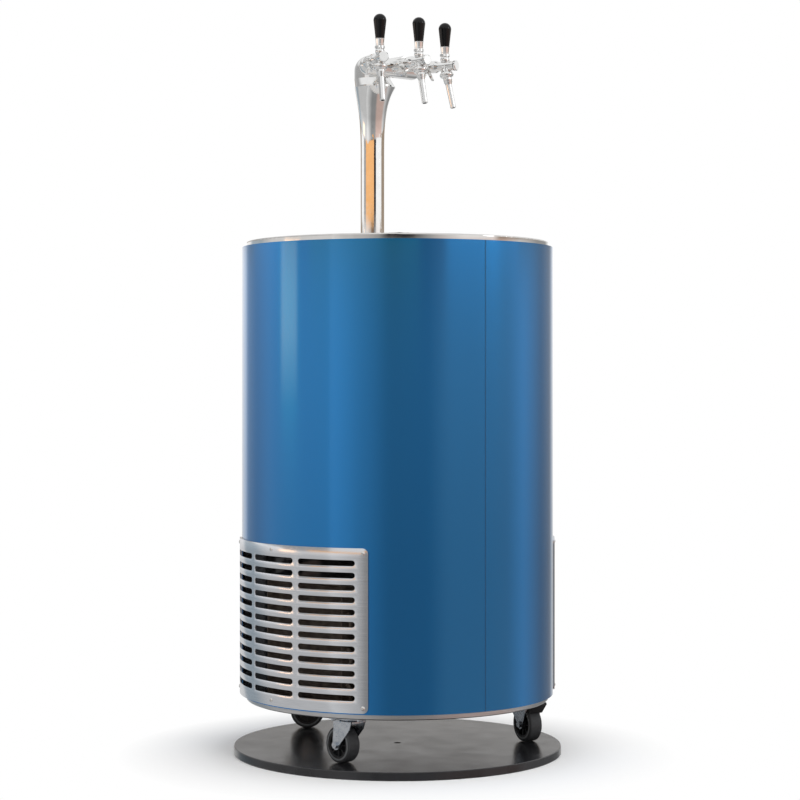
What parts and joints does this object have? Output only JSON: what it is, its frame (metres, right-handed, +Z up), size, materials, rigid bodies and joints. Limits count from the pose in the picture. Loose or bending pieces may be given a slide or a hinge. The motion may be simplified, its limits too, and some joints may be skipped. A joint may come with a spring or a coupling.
{
  "type": "mobile beer cooler",
  "caption": "Round mobile beer cooler on casters with a chrome tap tower, lever taps, side grilles and a rear service door.",
  "frame": {"origin": "centre of the floor board's underside", "axes": "+Z up, the taps face -Y, +X is to the right of someone facing +Y"},
  "size_m": [0.7259, 0.726, 1.6233],
  "materials": {
    "blue_skin": "high gloss enamel",
    "brushed_stainless": "brushed",
    "polished_stainless": "polished",
    "satin_pan": "satin",
    "chrome": "mirror",
    "black_knob": "gloss",
    "tyre_rubber": "matte",
    "wheel_plastic": "matte",
    "zinc_steel": "bright zinc plate",
    "pedal_plastic": "satin",
    "board_black": "black lacquer",
    "frame_steel": "grey paint",
    "foam": "closed-cell foam skin",
    "bath_steel": "satin",
    "copper": "drawn tube",
    "line_plastic": "moulded",
    "motor_grey": "cast",
    "impeller_steel": "satin",
    "compressor_black": "black enamel",
    "condenser_fins": "fins on copper tube",
    "thermostat_grey": "moulded"
  },
  "bodies": {
    "cabinet": {"base_pan": "satin_pan", "body_skin": "blue_skin", "inner_frame": "frame_steel", "worktop": "polished_stainless", "grille_left": "brushed_stainless", "grille_right": "brushed_stainless", "grille_screws": "polished_stainless", "door_hinges_fixed": "polished_stainless", "tower_column": "chrome", "tower_head": "chrome", "bath_insulation": "foam", "bath_tank": "bath_steel", "bath_lid": "foam", "beer_coils": "bath_steel", "evaporator_coil": "copper", "beer_lines": "line_plastic", "agitator_motor": "motor_grey", "compressor": "compressor_black", "condenser": "condenser_fins", "fan_shroud": "frame_steel", "fan_motor": "motor_grey", "thermostat": "thermostat_grey", "beer_inlets": "polished_stainless", "power_inlet": "line_plastic", "caster_mounts": "zinc_steel", "tap_nuts": "chrome", "tap_body_left": "chrome", "spout_left": "chrome", "tap_body_centre": "chrome", "spout_centre": "chrome", "tap_body_right": "chrome", "spout_right": "chrome"},
    "floor_board": {"floor_board": "board_black"},
    "drip_tray": {"drip_tray": "polished_stainless"},
    "drip_grid": {"drip_grid": "brushed_stainless"},
    "service_door": {"service_door": "blue_skin", "door_knob": "polished_stainless"},
    "agitator": {"agitator": "impeller_steel"},
    "fan_rotor": {"fan_rotor": "line_plastic"},
    "thermostat_dial": {"thermostat_dial": "line_plastic"},
    "tap_lever_left": {"tap_lever_left": "chrome", "tap_knob_left": "black_knob"},
    "flow_lever_left": {"flow_lever_left": "chrome"},
    "tap_lever_centre": {"tap_lever_centre": "chrome", "tap_knob_centre": "black_knob"},
    "flow_lever_centre": {"flow_lever_centre": "chrome"},
    "tap_lever_right": {"tap_lever_right": "chrome", "tap_knob_right": "black_knob"},
    "flow_lever_right": {"flow_lever_right": "chrome"},
    "caster_fork_front_left": {"caster_fork_front_left": "zinc_steel"},
    "caster_wheel_front_left": {"caster_wheel_front_left": "wheel_plastic", "caster_tyre_front_left": "tyre_rubber"},
    "caster_fork_front_right": {"caster_fork_front_right": "zinc_steel"},
    "caster_wheel_front_right": {"caster_wheel_front_right": "wheel_plastic", "caster_tyre_front_right": "tyre_rubber"},
    "brake_pedal_front_right": {"brake_pedal_front_right": "pedal_plastic"},
    "caster_fork_rear": {"caster_fork_rear": "zinc_steel"},
    "caster_wheel_rear": {"caster_wheel_rear": "wheel_plastic", "caster_tyre_rear": "tyre_rubber"},
    "brake_pedal_rear": {"brake_pedal_rear": "pedal_plastic"}
  },
  "joints": [
    {"name": "board_lift", "type": "slide", "parent": "cabinet", "child": "floor_board", "axis": [0, 0, 1], "range_m": [-0.25, 0]},
    {"name": "tray_lift", "type": "slide", "parent": "cabinet", "child": "drip_tray", "axis": [0, 0, 1], "range_m": [0, 0.12]},
    {"name": "grid_lift", "type": "slide", "parent": "drip_tray", "child": "drip_grid", "axis": [0, 0, 1], "range_m": [0, 0.1]},
    {"name": "door_hinge", "type": "hinge", "parent": "cabinet", "child": "service_door", "pos_m": [0.17462, 0.30448, 0.8023], "axis": [0, 0, -1], "range_deg": [0, 110]},
    {"name": "agitator_spin", "type": "hinge", "parent": "cabinet", "child": "agitator", "pos_m": [0, 0, 0.9933], "axis": [0, 0, 1], "continuous": true},
    {"name": "fan_spin", "type": "hinge", "parent": "cabinet", "child": "fan_rotor", "pos_m": [-0.186, 0, 0.2578], "axis": [1, 0, 0], "continuous": true},
    {"name": "dial_turn", "type": "hinge", "parent": "cabinet", "child": "thermostat_dial", "pos_m": [-0.06, 0.27657, 0.8423], "axis": [-0.212, 0.9773, 0], "range_deg": [0, 270]},
    {"name": "tap_pull_left", "type": "hinge", "parent": "cabinet", "child": "tap_lever_left", "pos_m": [-0.09415, -0.05261, 1.5408], "axis": [0.9239, -0.3827, 0], "range_deg": [-15, 45]},
    {"name": "flow_turn_left", "type": "hinge", "parent": "cabinet", "child": "flow_lever_left", "pos_m": [-0.07953, -0.01731, 1.5263], "axis": [0.9239, -0.3827, 0], "range_deg": [-50, 45]},
    {"name": "tap_pull_centre", "type": "hinge", "parent": "cabinet", "child": "tap_lever_centre", "pos_m": [0, -0.073, 1.5408], "axis": [1, 0, 0], "range_deg": [-15, 45]},
    {"name": "flow_turn_centre", "type": "hinge", "parent": "cabinet", "child": "flow_lever_centre", "pos_m": [0, -0.0348, 1.5263], "axis": [1, 0, 0], "range_deg": [-50, 45]},
    {"name": "tap_pull_right", "type": "hinge", "parent": "cabinet", "child": "tap_lever_right", "pos_m": [0.09415, -0.05261, 1.5408], "axis": [0.9239, 0.3827, 0], "range_deg": [-15, 45]},
    {"name": "flow_turn_right", "type": "hinge", "parent": "cabinet", "child": "flow_lever_right", "pos_m": [0.07953, -0.01731, 1.5263], "axis": [0.9239, 0.3827, 0], "range_deg": [-50, 45]},
    {"name": "caster_swivel_front_left", "type": "hinge", "parent": "cabinet", "child": "caster_fork_front_left", "pos_m": [-0.24422, -0.141, 0.11], "axis": [0, 0, 1], "continuous": true},
    {"name": "wheel_roll_front_left", "type": "hinge", "parent": "caster_fork_front_left", "child": "caster_wheel_front_left", "pos_m": [-0.2452, -0.11302, 0.0568], "axis": [-0.9994, -0.0349, 0], "continuous": true},
    {"name": "caster_swivel_front_right", "type": "hinge", "parent": "cabinet", "child": "caster_fork_front_right", "pos_m": [0.24422, -0.141, 0.11], "axis": [0, 0, 1], "continuous": true},
    {"name": "wheel_roll_front_right", "type": "hinge", "parent": "caster_fork_front_right", "child": "caster_wheel_front_right", "pos_m": [0.2384, -0.16839, 0.0568], "axis": [0.9781, -0.2079, 0], "continuous": true},
    {"name": "brake_press_front_right", "type": "hinge", "parent": "caster_fork_front_right", "child": "brake_pedal_front_right", "pos_m": [0.23486, -0.18502, 0.097], "axis": [0.9781, -0.2079, 0], "range_deg": [0, 12]},
    {"name": "caster_swivel_rear", "type": "hinge", "parent": "cabinet", "child": "caster_fork_rear", "pos_m": [0, 0.282, 0.11], "axis": [0, 0, 1], "continuous": true},
    {"name": "wheel_roll_rear", "type": "hinge", "parent": "caster_fork_rear", "child": "caster_wheel_rear", "pos_m": [-0.02145, 0.3, 0.0568], "axis": [-0.6428, -0.766, 0], "continuous": true},
    {"name": "brake_press_rear", "type": "hinge", "parent": "caster_fork_rear", "child": "brake_pedal_rear", "pos_m": [-0.03447, 0.31093, 0.097], "axis": [-0.6428, -0.766, 0], "range_deg": [0, 12]}
  ]
}
